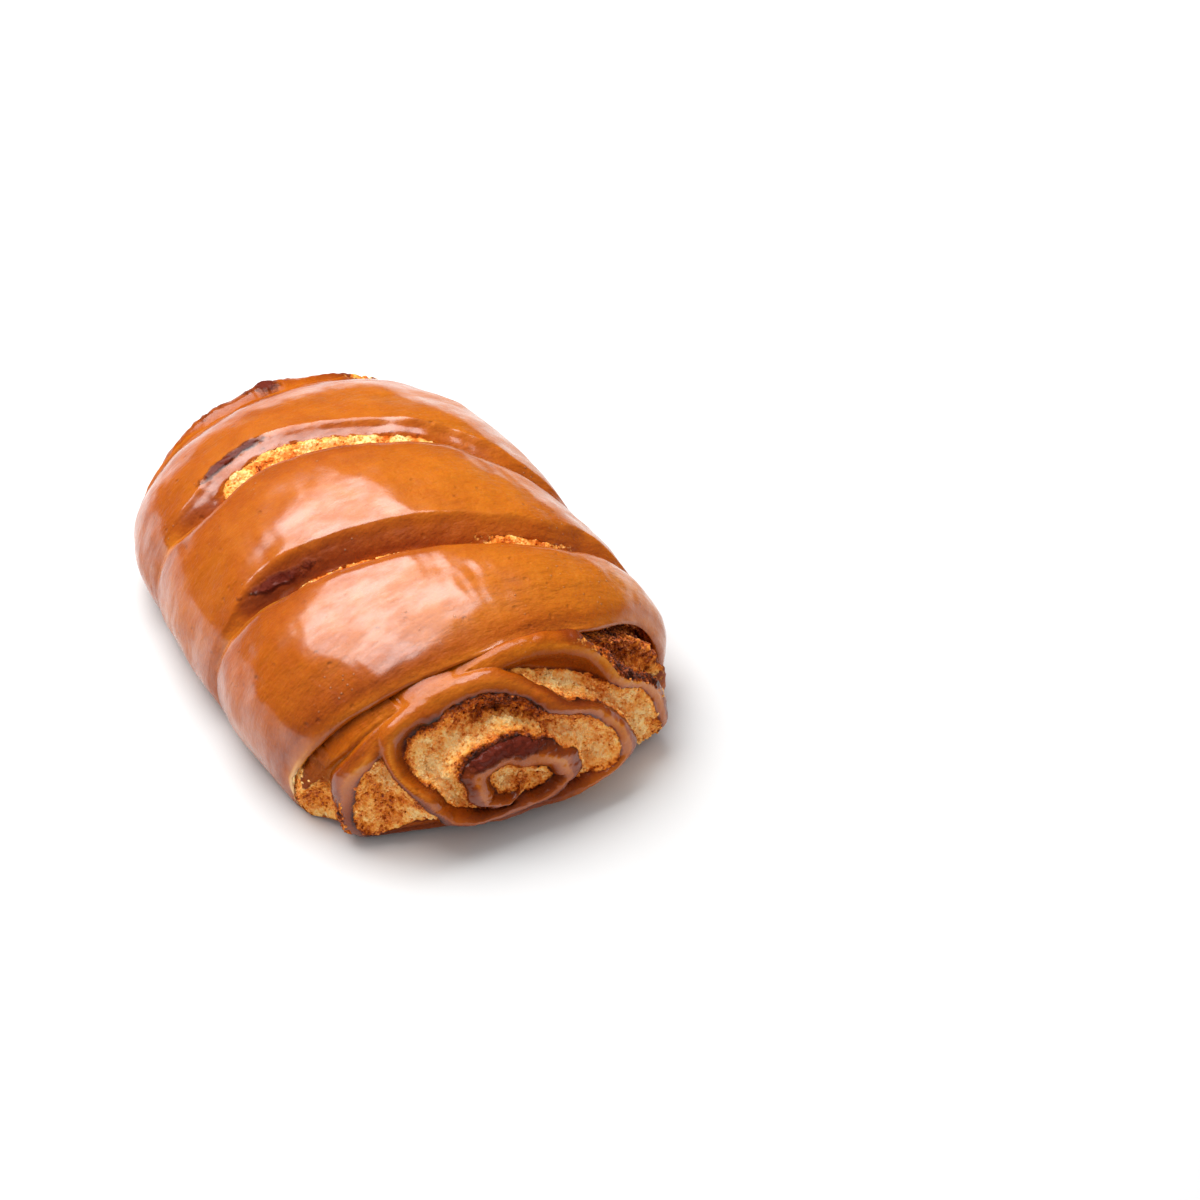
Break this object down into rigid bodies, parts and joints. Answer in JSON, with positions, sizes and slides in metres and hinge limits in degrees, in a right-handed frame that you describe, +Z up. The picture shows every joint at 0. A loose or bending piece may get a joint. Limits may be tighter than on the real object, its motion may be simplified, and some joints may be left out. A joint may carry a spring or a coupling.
{
  "type": "sweet cheese roll",
  "caption": "Whole baked sweet roll with a glazed brown crust, slashes across its back and rolled spiral ends.",
  "frame": {"origin": "centre of the bounding box at the flat base", "axes": "+X along the roll towards the fuller spiral end, +Y to the right of a viewer who faces that end, +Z up"},
  "size_m": [0.1342, 0.0912, 0.0438],
  "materials": {
    "crust": "glossy egg-washed brown crust with pale torn crumb in the slashes and at the spiral ends"
  },
  "bodies": {
    "root": {"sweet_roll": "crust"}
  },
  "joints": []
}
